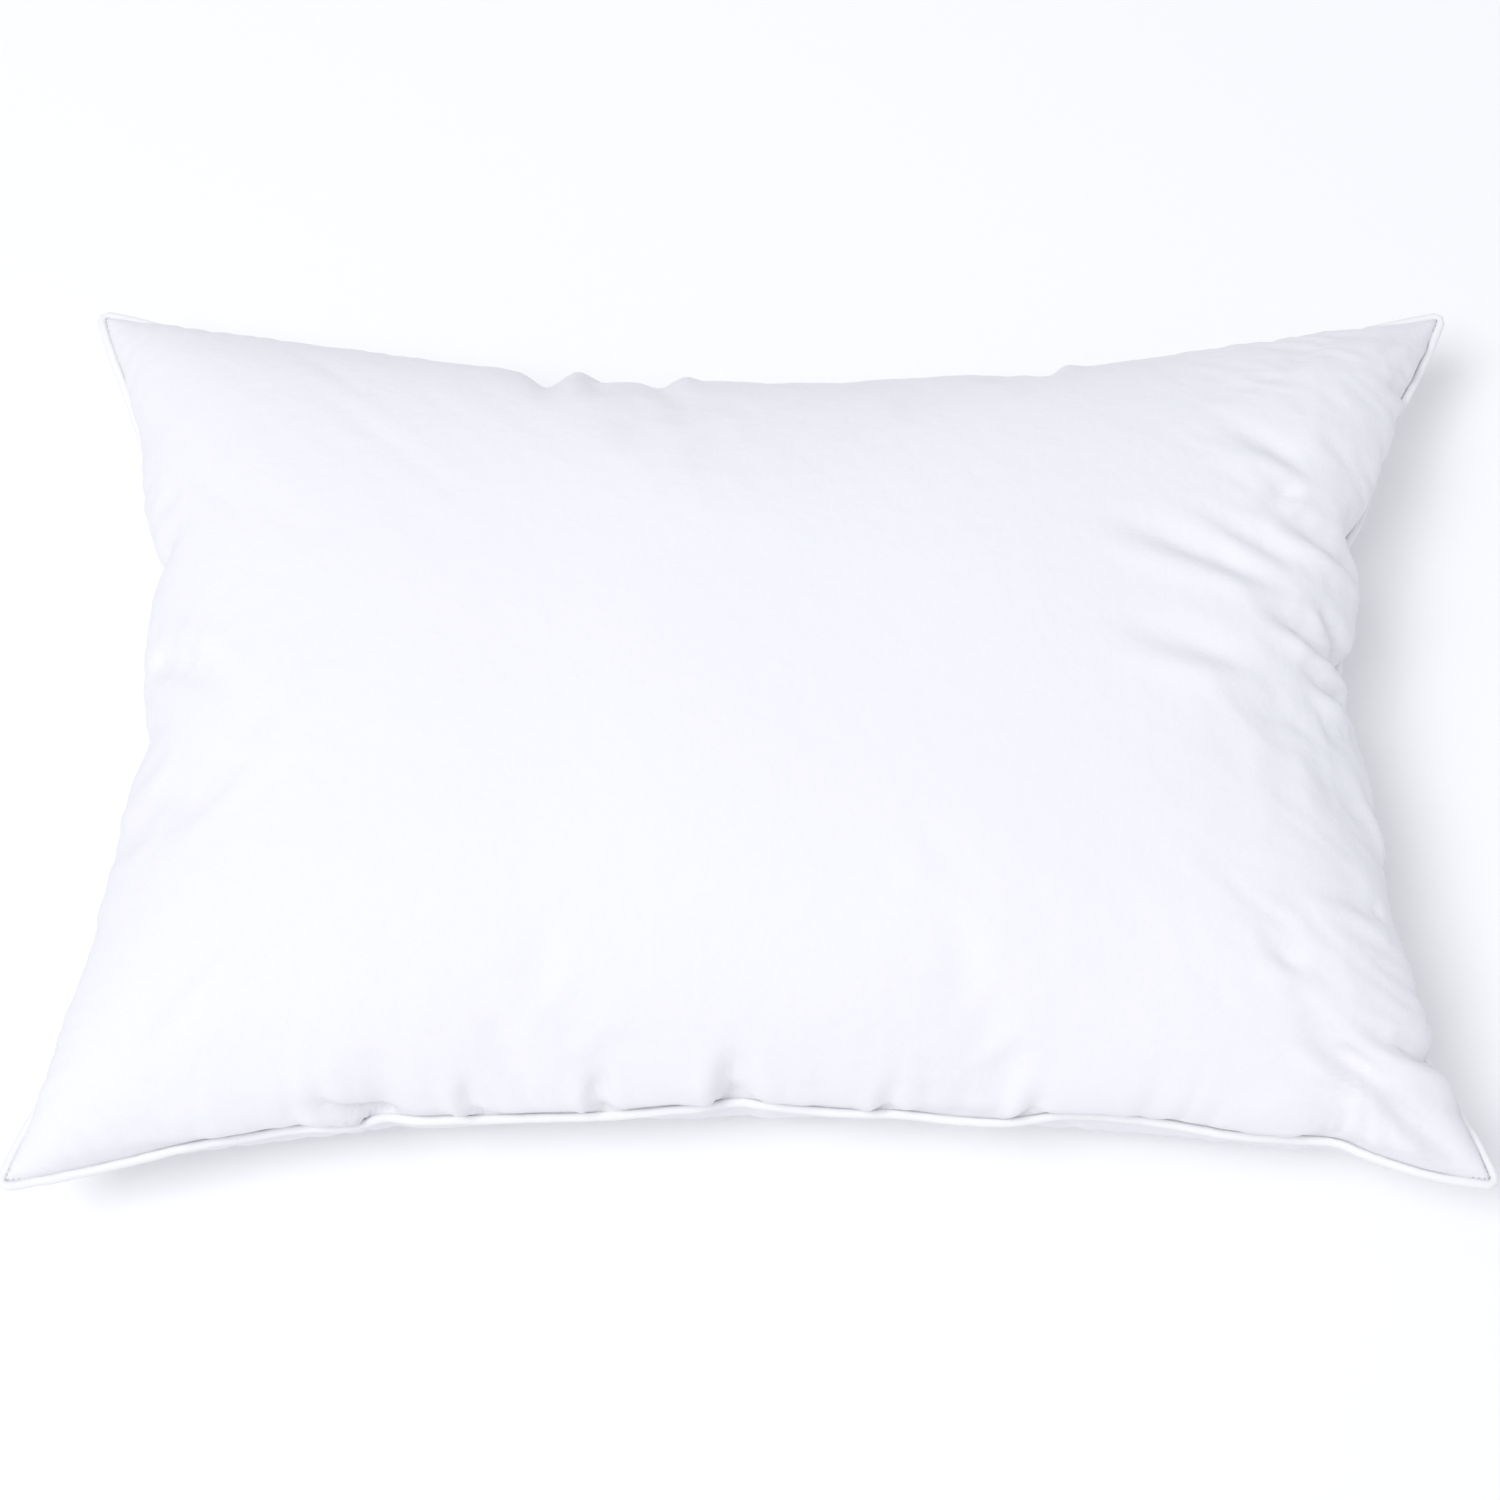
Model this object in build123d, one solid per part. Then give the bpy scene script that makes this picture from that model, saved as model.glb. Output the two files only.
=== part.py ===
"""Piped bed pillow: two cloth panels, a corded edge, the seam threads and the fibre filling.

Millimetres, +Z up. The origin is on the surface that the pillow lies on, under its middle.
+X runs along the long sides. The seam lies in one level plane, between the two panels.
"""
import math
import os

from build123d import *

# Filled size, measured at the seam
CORNER_LENGTH = 740.0        # from corner to corner along X
CORNER_WIDTH = 490.0         # from corner to corner along Y
END_BOW = 54.0               # how far the middle of each short end is pulled in
SIDE_BOW = 36.0              # how far the middle of each long side is pulled in
CORNER_RADIUS = 5.0          # rounding of the panels at the tip of each corner

# Height
SEAM_HEIGHT = 90.0           # seam plane above the surface that the pillow lies on
TOP_RISE = 108.0             # crown above the seam plane
BOTTOM_DROP = 102.0          # depth that the lower panel would have with nothing under it
EDGE_RISE = 3.5              # height of each panel where it turns away from the seam
END_SHOULDER = 0.15          # smaller is fuller towards the short ends
SIDE_SHOULDER = 0.3          # smaller is fuller towards the long sides

# Cloth, cord and thread
CLOTH = 0.8                  # thickness of the panels and of the bias strip
SEAM_ALLOWANCE = 10.0        # cloth inside the seam
CORD_DIAMETER = 3.0          # filler cord of the piping
THREAD_DIAMETER = 0.5
SEAM_INSET = 1.6             # stitch line from the edge of the panels
OVERLOCK_WIDTH = 4.0         # how far the overlock stitch reaches in from the raw edges
OPENING_LENGTH = 180.0       # filling opening, in the middle of the -X end
FILL_GAP = 0.2               # clearance between the filling and what is round it
THREAD_GAP = 0.05            # clearance between a thread and what it lies on

# Net of points under each panel's surface
NET_SPANS = 20
NET_REACH = 1.01             # the net ends just past the outline, so that it cuts cleanly
NET_STEP = 1e-3              # step for the surface's slope

# Worked out from the sizes above
HALF_LENGTH = CORNER_LENGTH / 2
HALF_WIDTH = CORNER_WIDTH / 2
END_RADIUS = (HALF_WIDTH ** 2 + END_BOW ** 2) / (2 * END_BOW)
SIDE_RADIUS = (HALF_LENGTH ** 2 + SIDE_BOW ** 2) / (2 * SIDE_BOW)
END_CENTRE = HALF_LENGTH - END_BOW + END_RADIUS
SIDE_CENTRE = HALF_WIDTH - SIDE_BOW + SIDE_RADIUS
CORD_RADIUS = CORD_DIAMETER / 2
PIPING_RADIUS = CORD_RADIUS + CLOTH
THREAD_RADIUS = THREAD_DIAMETER / 2
STACK = 2 * CLOTH            # half of the seam's four cloths: one panel and half of the tail
SEAM_PLANE = Pos(0, 0, SEAM_HEIGHT)


def outline(inset):
    """Level face inside the bowed rectangle, moved in by inset; its edges stay parallel."""
    room = 2 * max(-inset, 0)
    face = Rectangle(CORNER_LENGTH + 2 * room, CORNER_WIDTH + 2 * room)
    for sign in (-1, 1):
        face -= Pos(sign * END_CENTRE, 0) * Circle(END_RADIUS + inset)
        face -= Pos(0, sign * SIDE_CENTRE) * Circle(SIDE_RADIUS + inset)
    corner_radius = CORNER_RADIUS - inset
    if corner_radius > 0:
        face = fillet(face.vertices(), corner_radius)
    return face.face()


def slab(inset, low, high):
    """Plate of the outline, between two heights from the seam plane."""
    return Pos(0, 0, low) * extrude(outline(inset), high - low)


def ring(outer_inset, inner_inset, low, high):
    """Flat band that follows the outline, between two heights from the seam plane."""
    return slab(outer_inset, low, high) - slab(inner_inset, low, high)


def loop(inset, radius, height):
    """Round strand that follows the whole outline at one height from the seam plane."""
    path = Pos(0, 0, height) * outline(inset).outer_wire()
    section = Plane(path @ 0, z_dir=path % 0) * Circle(radius)
    return sweep(section, path)


def fullness(share, shoulder):
    """0 at the edge and 1 in the middle: steep by the edge, level over the middle."""
    return share * (1 + shoulder) / (share + shoulder)


def surface_point(u, v, rise):
    """Point of a panel's outer surface; u and v run from -1 to 1 between the edges."""
    reach_x = END_CENTRE - math.sqrt(END_RADIUS ** 2 - (v * HALF_WIDTH) ** 2)
    reach_y = SIDE_CENTRE - math.sqrt(SIDE_RADIUS ** 2 - (u * HALF_LENGTH) ** 2)
    full = fullness(1 - u * u, END_SHOULDER) * fullness(1 - v * v, SIDE_SHOULDER)
    return Vector(u * reach_x, v * reach_y, EDGE_RISE + (rise - EDGE_RISE) * full)


def surface(rise, depth):
    """Face that lies depth inside a panel's outer surface, and ends past the outline."""
    shares = [NET_REACH * math.sin(math.pi * (i / NET_SPANS - 0.5)) for i in range(NET_SPANS + 1)]
    rows = []
    for v in shares:
        row = []
        for u in shares:
            along_u = surface_point(u + NET_STEP, v, rise) - surface_point(u - NET_STEP, v, rise)
            along_v = surface_point(u, v + NET_STEP, rise) - surface_point(u, v - NET_STEP, rise)
            normal = along_u.cross(along_v).normalized()
            row.append(surface_point(u, v, rise) - normal * depth)
        rows.append(row)
    return Face.make_surface_from_array_of_points(rows)


def dome(rise, depth, inset, low, high):
    """Solid inside the outline, from low to high, that stays depth under the surface."""
    pieces = slab(inset, low, high).split(surface(rise, depth), keep=Keep.ALL)
    return pieces.sort_by(SortBy.VOLUME)[-1]


def panel(rise, high):
    """A panel and its inward seam allowance, above the seam plane and cut level at high."""
    outside = dome(rise, 0, 0, CLOTH, high)
    inside = dome(rise, CLOTH, CLOTH, STACK, high - CLOTH)
    mouth = slab(SEAM_ALLOWANCE, CLOTH, STACK)
    return outside - inside - mouth


def under(shape):
    """Turn a shape that is built above the seam plane over, to below it."""
    return mirror(shape, about=Plane.XY)


def top_panel():
    """Upper cloth panel: it rises freely to its crown."""
    return SEAM_PLANE * panel(TOP_RISE, TOP_RISE + CLOTH)


def bottom_panel():
    """Lower cloth panel: level where the pillow lies on its surface."""
    return SEAM_PLANE * under(panel(BOTTOM_DROP, SEAM_HEIGHT))


def piping_cord():
    """Filler cord inside the bias strip."""
    return SEAM_PLANE * loop(-PIPING_RADIUS, CORD_RADIUS, 0)


def piping_cover():
    """Bias strip: a sleeve round the cord, and a two-cloth tail between the panels."""
    sleeve = loop(-PIPING_RADIUS, PIPING_RADIUS, 0)
    tail = ring(-PIPING_RADIUS, SEAM_ALLOWANCE, -CLOTH, CLOTH)
    return SEAM_PLANE * (sleeve + tail - loop(-PIPING_RADIUS, CORD_RADIUS, 0))


def seam_thread(side):
    """Lockstitch thread along the seam, on the allowance above (1) or below (-1)."""
    height = STACK + THREAD_GAP + THREAD_RADIUS
    return SEAM_PLANE * loop(SEAM_INSET, THREAD_RADIUS, side * height)


def overlock_thread():
    """Overlock stitching, wrapped round the raw edges of the seam allowance."""
    height = STACK + THREAD_DIAMETER
    inner = SEAM_ALLOWANCE + THREAD_DIAMETER
    outer = SEAM_ALLOWANCE - OVERLOCK_WIDTH
    wrap = ring(outer, inner, -height, height)
    return SEAM_PLANE * (wrap - ring(outer, SEAM_ALLOWANCE, -STACK, STACK))


def closure_thread():
    """Thread that closes the filling opening, in the groove between panel and piping."""
    inset = -THREAD_RADIUS - THREAD_GAP
    reach = PIPING_RADIUS + THREAD_RADIUS + THREAD_GAP
    height = math.sqrt(reach ** 2 - (PIPING_RADIUS + inset) ** 2)
    radius = END_RADIUS + inset
    half_turn = math.degrees(math.asin(OPENING_LENGTH / 2 / radius))
    path = Pos(-END_CENTRE, 0, height) * CenterArc((0, 0), radius, -half_turn, 2 * half_turn)
    section = Plane(path @ 0, z_dir=path % 0) * Circle(THREAD_RADIUS)
    return SEAM_PLANE * sweep(section, path)


def fibre_fill():
    """Loose fibre filling: it fills the shell and is notched round the seam allowance."""
    depth = CLOTH + FILL_GAP
    inset = SEAM_INSET + THREAD_RADIUS + FILL_GAP
    notch = STACK + THREAD_DIAMETER + FILL_GAP
    upper = dome(TOP_RISE, depth, inset, notch, TOP_RISE)
    lower = dome(BOTTOM_DROP, depth, inset, notch, SEAM_HEIGHT - depth)
    core = slab(SEAM_ALLOWANCE + THREAD_DIAMETER + FILL_GAP, -notch, notch)
    return SEAM_PLANE * (upper + core + under(lower))


PIECES = {
    "top_panel": top_panel(),
    "bottom_panel": bottom_panel(),
    "piping_cord": piping_cord(),
    "piping_cover": piping_cover(),
    "seam_needle_thread": seam_thread(1),
    "seam_bobbin_thread": seam_thread(-1),
    "overlock_thread": overlock_thread(),
    "closure_thread": closure_thread(),
    "fibre_fill": fibre_fill(),
}

os.makedirs("parts", exist_ok=True)
for name, shape in PIECES.items():
    export_step(shape, f"parts/{name}.step")
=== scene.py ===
"""Piped bed pillow: the visual model, laid out as an add-on.

Metres, +Z up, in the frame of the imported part. The shell is cut flat, filled by a cloth
simulation and creased. The piping, the seam threads and the filling are then made along
the seam that the simulation leaves. Run as a script, it makes the whole pillow.
"""
import math
from collections import namedtuple

import bmesh
import bpy
import numpy as np
from bpy.props import FloatProperty, FloatVectorProperty, PointerProperty
from bpy.types import Operator, Panel, PropertyGroup
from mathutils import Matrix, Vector, noise


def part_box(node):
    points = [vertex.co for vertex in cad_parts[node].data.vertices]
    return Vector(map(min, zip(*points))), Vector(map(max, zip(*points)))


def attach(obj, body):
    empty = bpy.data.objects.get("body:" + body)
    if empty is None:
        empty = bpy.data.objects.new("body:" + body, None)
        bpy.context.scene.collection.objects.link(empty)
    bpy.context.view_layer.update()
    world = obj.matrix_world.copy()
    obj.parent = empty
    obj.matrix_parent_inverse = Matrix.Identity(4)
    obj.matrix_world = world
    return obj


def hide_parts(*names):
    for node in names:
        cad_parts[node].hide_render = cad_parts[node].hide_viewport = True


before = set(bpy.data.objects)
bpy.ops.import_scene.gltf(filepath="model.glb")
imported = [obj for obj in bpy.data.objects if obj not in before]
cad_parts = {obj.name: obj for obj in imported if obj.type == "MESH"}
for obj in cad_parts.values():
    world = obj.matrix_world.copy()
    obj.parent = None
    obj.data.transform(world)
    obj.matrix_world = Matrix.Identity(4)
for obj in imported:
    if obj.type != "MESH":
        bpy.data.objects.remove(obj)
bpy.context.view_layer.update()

bl_info = {
    "name": "Piped Bed Pillow",
    "version": (1, 0, 0),
    "blender": (4, 5, 0),
    "location": "3D View > Sidebar > Pillow",
    "description": "Makes a piped bed pillow from its cut size: shell, piping, threads and filling",
    "category": "Add Mesh",
}

BODY = "root"

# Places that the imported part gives
PIPING_LOW, PIPING_HIGH = (Vector(corner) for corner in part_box("piping_cover"))
PIPING_SIZE = PIPING_HIGH - PIPING_LOW
PIPING_RADIUS = PIPING_SIZE.z / 2
CORD_RADIUS = (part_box("piping_cord")[1][2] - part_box("piping_cord")[0][2]) / 2
SEAM_HEIGHT = (PIPING_LOW.z + PIPING_HIGH.z) / 2
CROWN_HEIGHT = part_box("top_panel")[1][2]
CLOSURE_LOW, CLOSURE_HIGH = (Vector(corner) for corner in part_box("closure_thread"))

FORM = "pillow_form"          # mesh that holds the filled shell for the other operators
CUT = "cut_place"             # its attribute: flat place on the cut panel, and side in z
WEAVE_MAP = "weave"           # UV map in metres along the cloth's own yarns
CORNER_CLEAR = 0.012          # the seam allowance is cut away this far from a corner's tip
TINY = 1e-6                   # a flat place this near to an edge is on it
UPRIGHT = (0.0, 0.0, 1.0)

# Cloth simulation
FRAMES = 30
DOME_SPREAD = 0.5             # how much the flat cloth bunches towards the rim of the dome
END_SHOULDER = 0.12           # smaller is fuller towards the short ends
SIDE_SHOULDER = 0.3           # smaller is fuller towards the long sides
BELLY_DEPTH = 0.102           # depth of the lower dome with nothing under it
FLOOR_SOFTNESS = 0.012        # how gently the lower dome flattens on the surface
LUMP_SIZE = 0.11
LUMP_HEIGHT = 0.004
TUCK_FADE = 0.12              # the piping draws the seam in less towards the corners
TUCK_WANDER = 0.05            # spacing of its changes along the seam
TUCK_VARIES = 0.8

# A pinch draws the seam in over a short stretch: place along its side, depth and half width
Pinch = namedtuple("Pinch", "side place depth half_width")
PINCHES = (
    Pinch("right", 0.094, 0.011, 0.009),
    Pinch("right", 0.010, 0.013, 0.010),
    Pinch("right", -0.190, 0.006, 0.008),
    Pinch("right", -0.214, 0.003, 0.006),
    Pinch("left", 0.080, 0.005, 0.012),
    Pinch("left", -0.022, 0.005, 0.012),
    Pinch("near", -0.186, 0.005, 0.009),
    Pinch("near", -0.012, 0.003, 0.009),
    Pinch("near", 0.285, 0.004, 0.010),
    Pinch("far", -0.118, 0.003, 0.012),
    Pinch("far", 0.137, 0.003, 0.010),
)

# A crease runs between two places on the flat upper panel, from its deep end to the end
# where it fades; bow bends it sideways
Crease = namedtuple("Crease", "start end bow depth width")
CREASES = (
    # fan at the right end, above the deep tuck
    Crease((0.305, 0.037), (0.150, 0.074), 0.002, 0.0034, 0.0070),
    Crease((0.318, 0.052), (0.200, 0.082), 0.003, 0.0030, 0.0060),
    Crease((0.362, 0.068), (0.228, 0.088), 0.004, 0.0034, 0.0055),
    Crease((0.296, 0.094), (0.256, 0.087), 0.000, 0.0020, 0.0055),
    Crease((0.312, 0.108), (0.215, 0.137), 0.002, 0.0022, 0.0075),
    # the deep tuck itself, in two lapped folds
    Crease((0.372, 0.015), (0.240, 0.036), 0.006, 0.0056, 0.0048),
    Crease((0.376, 0.022), (0.300, 0.040), 0.003, 0.0046, 0.0040),
    # below the tuck
    Crease((0.276, -0.002), (0.158, 0.016), 0.002, 0.0024, 0.0070),
    Crease((0.358, -0.004), (0.276, 0.010), 0.002, 0.0030, 0.0050),
    Crease((0.380, -0.078), (0.352, -0.036), 0.002, 0.0026, 0.0045),
    Crease((0.345, -0.116), (0.268, -0.102), 0.002, 0.0016, 0.0060),
    Crease((0.276, -0.152), (0.238, -0.136), 0.002, 0.0022, 0.0055),
    # right near corner
    Crease((0.374, -0.250), (0.300, -0.206), 0.003, 0.0048, 0.0050),
    Crease((0.322, -0.212), (0.256, -0.184), 0.002, 0.0028, 0.0055),
    Crease((0.378, -0.192), (0.288, -0.179), 0.002, 0.0036, 0.0050),
    # right far corner
    Crease((0.380, 0.244), (0.336, 0.208), 0.000, 0.0042, 0.0050),
    Crease((0.378, 0.196), (0.340, 0.176), 0.002, 0.0020, 0.0045),
    # near side
    Crease((-0.178, -0.254), (-0.212, -0.226), 0.000, 0.0044, 0.0048),
    Crease((-0.130, -0.252), (-0.126, -0.214), 0.002, 0.0020, 0.0045),
    Crease((-0.072, -0.252), (-0.064, -0.216), 0.002, 0.0022, 0.0045),
    Crease((-0.008, -0.252), (-0.006, -0.204), 0.002, 0.0026, 0.0050),
    Crease((0.066, -0.252), (0.064, -0.222), 0.001, 0.0018, 0.0045),
    Crease((0.138, -0.252), (0.132, -0.224), 0.001, 0.0018, 0.0045),
    # left end
    Crease((-0.356, 0.018), (-0.258, -0.020), 0.003, 0.0022, 0.0070),
    Crease((-0.372, 0.070), (-0.318, 0.078), 0.002, 0.0018, 0.0060),
    # far side
    Crease((-0.118, 0.252), (-0.104, 0.150), 0.004, 0.0034, 0.0070),
    Crease((-0.060, 0.252), (-0.052, 0.176), 0.003, 0.0022, 0.0060),
    Crease((0.140, 0.252), (0.128, 0.186), 0.003, 0.0022, 0.0060),
)
CREASE_PRESS = 2.0            # how firmly all the creases are pressed in
CREASE_WIDEN = 1.2            # and how much wider than its own width each one spreads
CREASE_FROM_END = 0.04        # a crease that starts this near a seam is deep from its start
CREASE_FROM_SIDE = 0.02
CRUMPLE_HEIGHT = 0.0013       # fine crumples, mostly in the slack cloth of the right end
CRUMPLE_LENGTH = 0.042
CRUMPLE_PITCH = 0.012
CRUMPLE_START = 0.17          # along X, where they begin; they are full after the spread
CRUMPLE_SPREAD = 0.12
CRUMPLE_RIM = 0.080           # and how far they reach in from the rest of the seam
CRUMPLE_RIM_SHARE = 0.35
EAR_REACH = 0.080             # the creases fade out in the flat ears of the corners
PUCKER_HEIGHT = 0.0014        # small gathers that the seam makes in both panels
PUCKER_PITCH = 0.017
PUCKER_REACH = 0.011
PIPING_WANDER = 0.0006
WRINKLE = 0.0003
STACK_LIFT = 0.0026           # the seam's four cloths hold the panels apart near the seam
STACK_RISE = 0.003
STACK_FADE = 0.040

# The tight piping draws the seam in, and the filled cloth rolls out over it
Roll = namedtuple("Roll", "seam_in cloth_out")
ROLLS = {
    "right": Roll(0.0030, 0.0045),
    "left": Roll(0.0045, 0.0030),
    "near": Roll(0.0030, 0.0042),
    "far": Roll(0.0020, 0.0010),
}
ROLL_RISE = 0.013
ROLL_FADE = 0.060
ROLL_LUMP = 0.045             # spacing of its changes along the seam
ROLL_VARIES = 0.9
NOTCH_SHARE = 0.9             # how much further the cloth dips in at a pinch than the seam
NOTCH_AT_SEAM = 0.3
NOTCH_WIDTH = 1.3


# Sizes and colours that a user would change

class PillowShell(PropertyGroup):
    """The cloth shell: how it is cut, sewn and filled."""
    cut_length: FloatProperty(
        name="Cut Length", description="Flat length of a panel between its seams",
        default=0.762, unit="LENGTH")
    cut_width: FloatProperty(
        name="Cut Width", description="Flat width of a panel between its seams",
        default=0.508, unit="LENGTH")
    seam_length: FloatProperty(
        name="Seam Length", description="Filled length from corner to corner",
        default=PIPING_SIZE.x - PIPING_RADIUS, unit="LENGTH")
    seam_width: FloatProperty(
        name="Seam Width", description="Filled width from corner to corner",
        default=PIPING_SIZE.y - PIPING_RADIUS, unit="LENGTH")
    right_bow: FloatProperty(
        name="Right Bow", description="How far the middle of the right end is pulled in",
        default=0.053, unit="LENGTH")
    left_bow: FloatProperty(
        name="Left Bow", description="How far the middle of the left end is pulled in",
        default=0.044, unit="LENGTH")
    near_bow: FloatProperty(
        name="Near Bow", description="How far the middle of the near side is pulled in",
        default=0.029, unit="LENGTH")
    far_bow: FloatProperty(
        name="Far Bow", description="How far the middle of the far side is pulled in",
        default=0.046, unit="LENGTH")
    tuck: FloatProperty(
        name="Tuck", description="How far the tight piping draws the seam in under the cloth",
        default=0.010, unit="LENGTH")
    lean: FloatProperty(
        name="Lean", description="How far the far side slips along the near one, per width",
        default=0.026)
    crown: FloatProperty(
        name="Crown", description="Height of the filled pillow",
        default=CROWN_HEIGHT, unit="LENGTH")
    allowance: FloatProperty(
        name="Seam Allowance", description="Cloth inside the seam",
        default=0.010, unit="LENGTH")
    thickness: FloatProperty(
        name="Cloth Thickness", description="Thickness of the panels and the bias strip",
        default=PIPING_RADIUS - CORD_RADIUS, unit="LENGTH")
    cell: FloatProperty(
        name="Cloth Cell", description="Side of one simulated square of cloth",
        default=0.006, unit="LENGTH")
    ease: FloatProperty(
        name="Ease", description="Extra cloth that shows as soft folds, as a share",
        default=0.003)
    pressure: FloatProperty(
        name="Pressure", description="How hard the filling presses on the cloth", default=3.0)
    colour: FloatVectorProperty(
        name="Cloth Colour", description="Bleached cotton", subtype="COLOR",
        default=(0.87, 0.872, 0.91))


class PillowSewing(PropertyGroup):
    """Piping, stitches and filling."""
    stitch: FloatProperty(
        name="Stitch", description="Length of one lockstitch", default=0.003, unit="LENGTH")
    thread: FloatProperty(
        name="Thread", description="Thickness of the sewing thread",
        default=0.0005, unit="LENGTH")
    seam_inset: FloatProperty(
        name="Seam Inset", description="Stitch line from the edge of the panels",
        default=0.0016, unit="LENGTH")
    overlock: FloatProperty(
        name="Overlock Width", description="How far the overlock reaches in from the raw edge",
        default=0.004, unit="LENGTH")
    opening: FloatProperty(
        name="Filling Opening", description="Length of the stretch that is closed last",
        default=CLOSURE_HIGH.y - CLOSURE_LOW.y, unit="LENGTH")
    trim: FloatProperty(
        name="Corner Trim", description="Share by which the allowance narrows into a corner",
        default=0.7)
    piping_colour: FloatVectorProperty(
        name="Piping Colour", description="Bias strip", subtype="COLOR",
        default=(0.88, 0.885, 0.90))
    cord_colour: FloatVectorProperty(
        name="Cord Colour", description="Unbleached filler cord", subtype="COLOR",
        default=(0.80, 0.77, 0.70))
    thread_colour: FloatVectorProperty(
        name="Thread Colour", description="Spun sewing thread", subtype="COLOR",
        default=(0.87, 0.87, 0.88))
    fibre_colour: FloatVectorProperty(
        name="Fibre Colour", description="Hollow fibre filling", subtype="COLOR",
        default=(0.90, 0.90, 0.89))


class PillowStudio(PropertyGroup):
    """Floor, light and camera."""
    elevation: FloatProperty(
        name="Elevation", description="Camera's angle above the floor",
        default=math.radians(67.6), subtype="ANGLE")
    distance: FloatProperty(
        name="Distance", description="From the camera to the seam's middle",
        default=1.69, unit="LENGTH")
    field: FloatProperty(
        name="Field of View", description="Across the image",
        default=math.radians(26.0), subtype="ANGLE")
    ambient: FloatProperty(
        name="Ambient", description="Strength of the light from all round", default=0.71)
    key: FloatProperty(
        name="Key Light", description="Power of the large light on the left",
        default=122.0, unit="POWER")
    floor_colour: FloatVectorProperty(
        name="Floor Colour", description="Plain pale floor", subtype="COLOR",
        default=(0.95, 0.95, 0.95))


# Mesh helpers

def new_piece(name, mesh, material, replaced):
    """Link a finished mesh as a piece that stands for CAD nodes."""
    for face in mesh.polygons:
        face.use_smooth = True
    mesh.materials.append(material)
    piece = bpy.data.objects.new(name, mesh)
    bpy.context.scene.collection.objects.link(piece)
    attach(piece, BODY)
    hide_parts(replaced)
    return piece


def mesh_from(bm, name):
    """Turn a bmesh into mesh data and free it."""
    mesh = bpy.data.meshes.new(name)
    bm.to_mesh(mesh)
    bm.free()
    return mesh


def applied(piece, name):
    """Mesh of a piece with its modifiers applied; the piece itself is removed."""
    seen = piece.evaluated_get(bpy.context.evaluated_depsgraph_get())
    mesh = bpy.data.meshes.new_from_object(seen)
    source = piece.data
    bpy.data.objects.remove(piece)
    bpy.data.meshes.remove(source)
    mesh.name = name
    return mesh


def places_of(mesh):
    """Vertex places as an array."""
    places = np.empty(len(mesh.vertices) * 3)
    mesh.vertices.foreach_get("co", places)
    return places.reshape(-1, 3)


def normals_of(mesh):
    """Vertex normals as an array."""
    normals = np.empty(len(mesh.vertices) * 3)
    mesh.vertices.foreach_get("normal", normals)
    return normals.reshape(-1, 3)


def cut_of(mesh):
    """Flat place and side of each vertex of the form, as an array."""
    cut = np.empty(len(mesh.vertices) * 3)
    mesh.attributes[CUT].data.foreach_get("vector", cut)
    return cut.reshape(-1, 3)


def edge_distances(shell, cut):
    """Flat distances from each vertex to the nearest end seam and side seam."""
    return shell.cut_length / 2 - abs(cut[:, 0]), shell.cut_width / 2 - abs(cut[:, 1])


def smooth_step(share):
    """0 to 1 with level ends."""
    share = np.clip(share, 0, 1)
    return share * share * (3 - 2 * share)


def unit(vectors):
    """Rows scaled to length one."""
    return vectors / np.linalg.norm(vectors, axis=1, keepdims=True)


def add_solidify(piece, thickness, offset):
    """Give a sheet its thickness."""
    modifier = piece.modifiers.new("Cloth thickness", "SOLIDIFY")
    modifier.thickness = thickness
    modifier.offset = offset


# The shell: cut, sewn and filled

def cut_panel(shell, side):
    """Flat grid of one panel; the flat place is kept in the mesh, with the side in z."""
    bm = bmesh.new()
    across = round(shell.cut_length / shell.cell)
    along = round(shell.cut_width / shell.cell)
    bmesh.ops.create_grid(bm, x_segments=across, y_segments=along, size=0.5)
    layer = bm.verts.layers.float_vector.new(CUT)
    for vert in bm.verts:
        rim = vert.is_boundary
        flat_x, flat_y = vert.co.x * shell.cut_length, vert.co.y * shell.cut_width
        vert[layer] = (flat_x, flat_y, 0 if rim else side)
    if side < 0:
        bmesh.ops.reverse_faces(bm, faces=bm.faces)
    return mesh_from(bm, "cut_panel")


def fullness(share, shoulder):
    """0 at the seam and 1 in the middle: steep by the seam, level over the middle."""
    return share * (1 + shoulder) / (share + shoulder)


def filled_places(shell, cut):
    """Places on the filled dome for an array of flat places."""
    half_length, half_width = shell.seam_length / 2, shell.seam_width / 2
    flat_u = np.clip(2 * cut[:, 0] / shell.cut_length, -1, 1)
    flat_v = np.clip(2 * cut[:, 1] / shell.cut_width, -1, 1)
    spread_u = DOME_SPREAD * np.sqrt(1 - flat_v ** 2)
    spread_v = DOME_SPREAD * np.sqrt(1 - flat_u ** 2)
    u = (1 - spread_u) * flat_u + spread_u * np.sin(flat_u * math.pi / 2)
    v = (1 - spread_v) * flat_v + spread_v * np.sin(flat_v * math.pi / 2)
    end_bow = (shell.right_bow * (1 + u) + shell.left_bow * (1 - u)) / 2
    side_bow = (shell.far_bow * (1 + v) + shell.near_bow * (1 - v)) / 2
    x = u * (half_length - end_bow * (1 - v * v))
    y = v * (half_width - side_bow * (1 - u * u))
    full = fullness(1 - u * u, END_SHOULDER) * fullness(1 - v * v, SIDE_SHOULDER)
    top = SEAM_HEIGHT + (shell.crown - SEAM_HEIGHT) * full
    belly = SEAM_HEIGHT - BELLY_DEPTH * full
    bottom = 0.5 * (belly + np.sqrt(belly ** 2 + FLOOR_SOFTNESS ** 2))
    z = np.where(cut[:, 2] >= 0, top, bottom)
    return np.column_stack((x + shell.lean * y, y, z))


def lump(place, size):
    """Smooth lump of the filling at a place, from -1 to 1."""
    return noise.noise(Vector(place) / size)


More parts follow.
